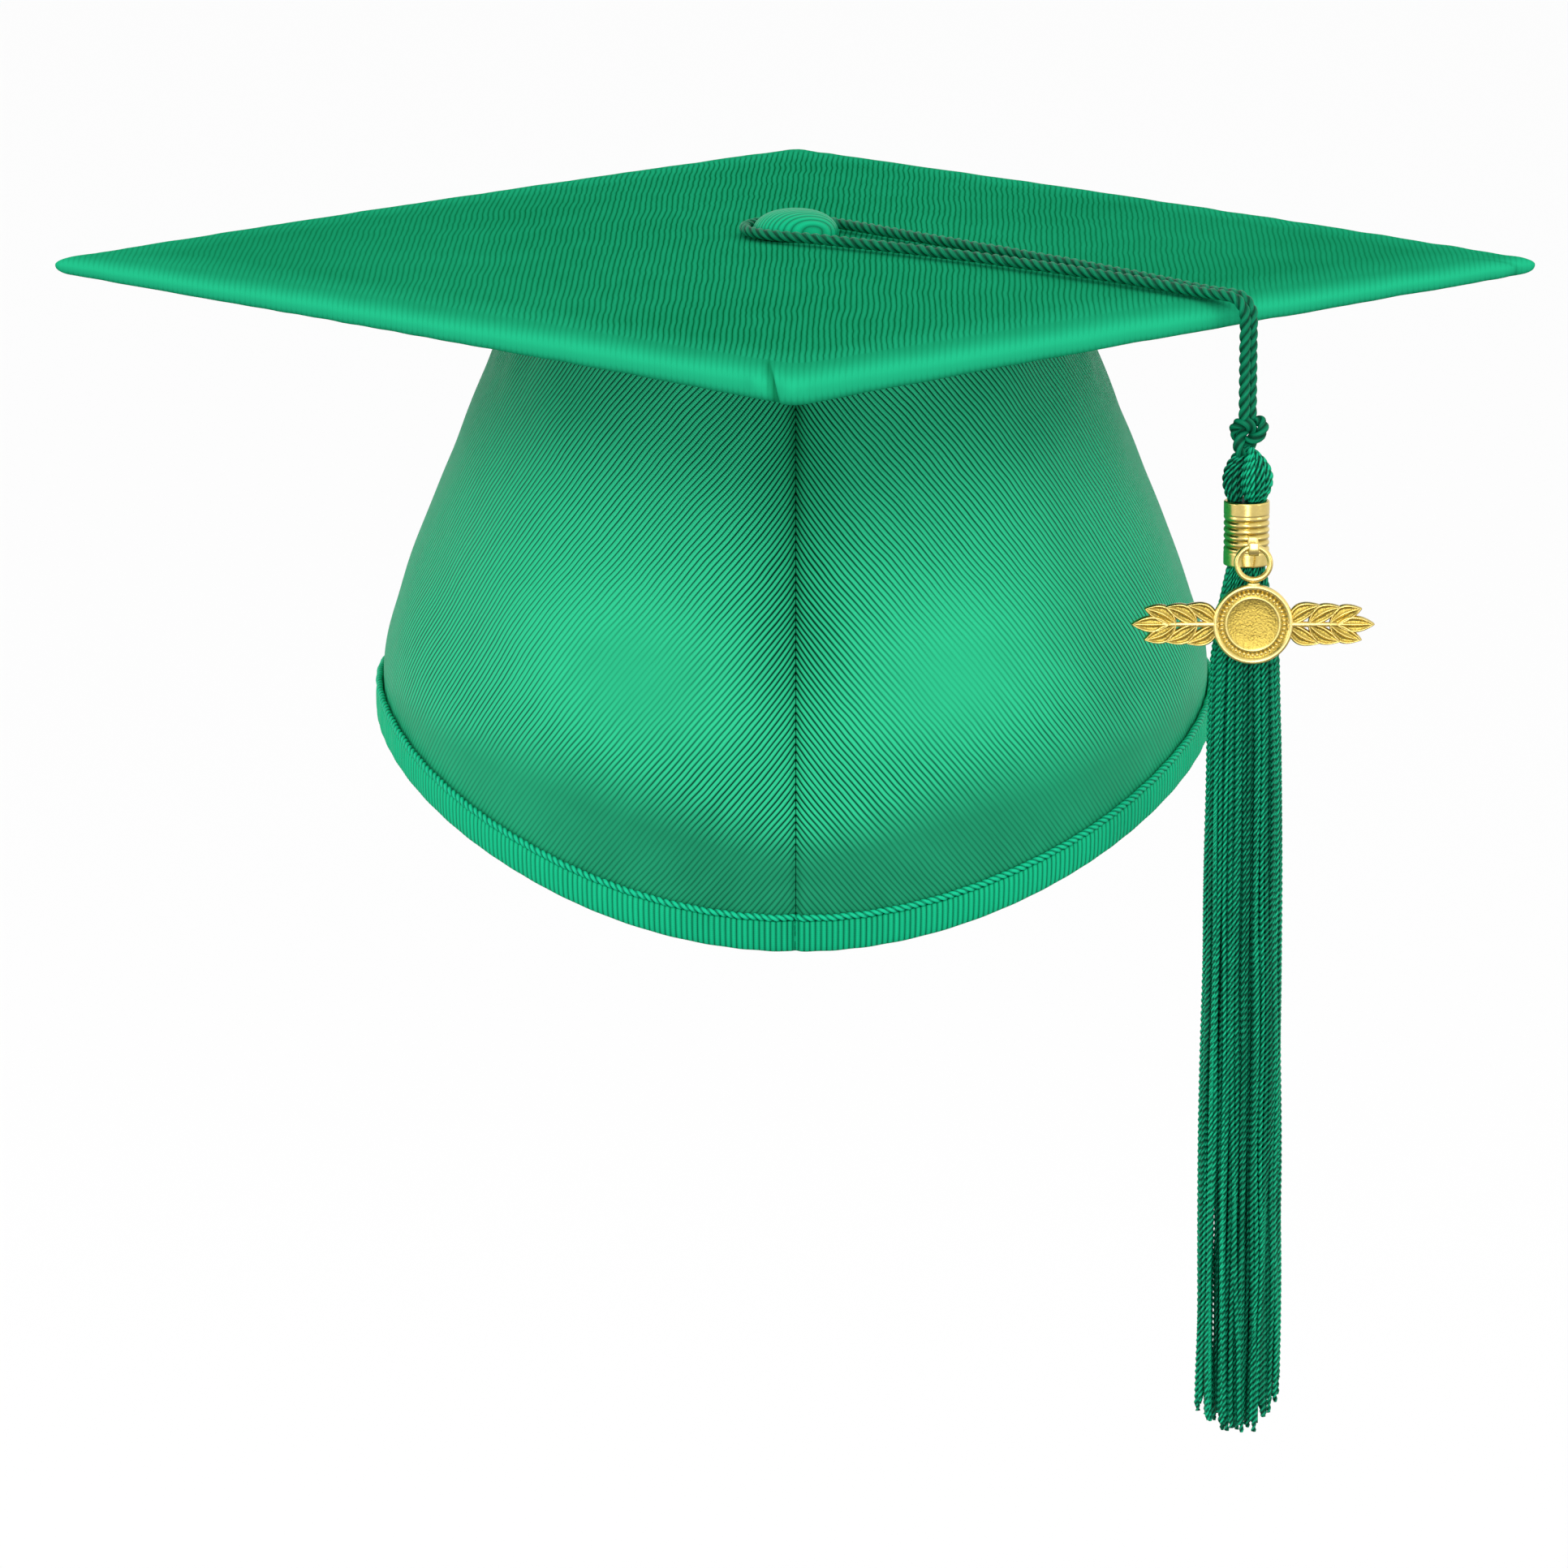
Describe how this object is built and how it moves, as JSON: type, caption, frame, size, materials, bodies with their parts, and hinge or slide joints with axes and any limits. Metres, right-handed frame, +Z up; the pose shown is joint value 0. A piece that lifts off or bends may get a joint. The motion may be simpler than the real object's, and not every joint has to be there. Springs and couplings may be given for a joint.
{
  "type": "graduation cap",
  "caption": "Padded square board on a soft fitted crown with a ribbed rim band, a fabric button, and a looped cord carrying a tassel with a gold ferrule and a cast charm.",
  "frame": {"origin": "centre of the head opening, level with the rim at the sides, where a head holds the cap", "axes": "+Z up through the button, -Y through the board's front corner, +X to the wearer's left, the side on which the tassel hangs"},
  "size_m": [0.3384, 0.3384, 0.2679],
  "materials": {
    "board_satin": "ribbed satin",
    "crown_satin": "ribbed satin",
    "rim_satin": "ribbed satin",
    "piping_satin": "twisted satin",
    "button_satin": "ribbed satin",
    "underside_fabric": "plain weave",
    "wadding": "matte",
    "core_board": "matte",
    "lining": "matte",
    "sweatband_fabric": "grosgrain",
    "elastic": "ribbed elastic",
    "thread": "matte",
    "fixing_steel": "satin",
    "cord_yarn": "rayon sheen",
    "tassel_yarn": "rayon sheen",
    "ferrule_gold": "polished",
    "charm_gold": "cast, stippled recess"
  },
  "bodies": {
    "cap": {"board_core": "core_board", "board_padding": "wadding", "board_top_cover": "board_satin", "board_bottom_cover": "underside_fabric", "crown_panel_left": "crown_satin", "crown_panel_right": "crown_satin", "crown_interfacing": "lining", "front_seam_tape": "lining", "back_seam_tape": "lining", "crown_top_flange": "lining", "flange_stitches": "thread", "rim_band": "rim_satin", "rim_piping": "piping_satin", "sweatband": "sweatband_fabric", "back_elastic": "elastic", "button_cover": "button_satin", "button_shell": "fixing_steel", "button_back": "fixing_steel", "button_shank": "fixing_steel", "button_washer": "fixing_steel"},
    "tassel_loop": {"cord_loop": "cord_yarn", "cord_bend": "cord_yarn"},
    "tassel_drop": {"cord_drop": "cord_yarn", "cord_knot": "cord_yarn"},
    "tassel": {"tassel_head": "tassel_yarn", "tassel_core": "tassel_yarn", "tassel_binding": "thread", "tassel_ferrule": "ferrule_gold", "ferrule_hook": "ferrule_gold", "tassel_skirt": "tassel_yarn"},
    "charm": {"charm_plate": "charm_gold", "charm_ring": "charm_gold"}
  },
  "joints": [
    {"name": "tassel_swivel", "type": "hinge", "parent": "cap", "child": "tassel_loop", "pos_m": [0, 0, 0.1121], "axis": [0, 0, 1], "range_deg": [-22, 8]},
    {"name": "tassel_swing", "type": "hinge", "parent": "tassel_loop", "child": "tassel_drop", "pos_m": [0.09653, -0.07542, 0.1042], "axis": [-0.6157, -0.788, 0], "range_deg": [-4, 60], "deforming": ["cord_bend"]},
    {"name": "tassel_sway", "type": "hinge", "parent": "tassel_drop", "child": "tassel", "pos_m": [0.10008, -0.07819, 0.078], "axis": [0.788, -0.6157, 0], "range_deg": [-20, 20]},
    {"name": "charm_swing", "type": "hinge", "parent": "tassel", "child": "charm", "pos_m": [0.10128, -0.08689, 0.05055], "axis": [0, 1, 0], "range_deg": [-25, 25]}
  ]
}
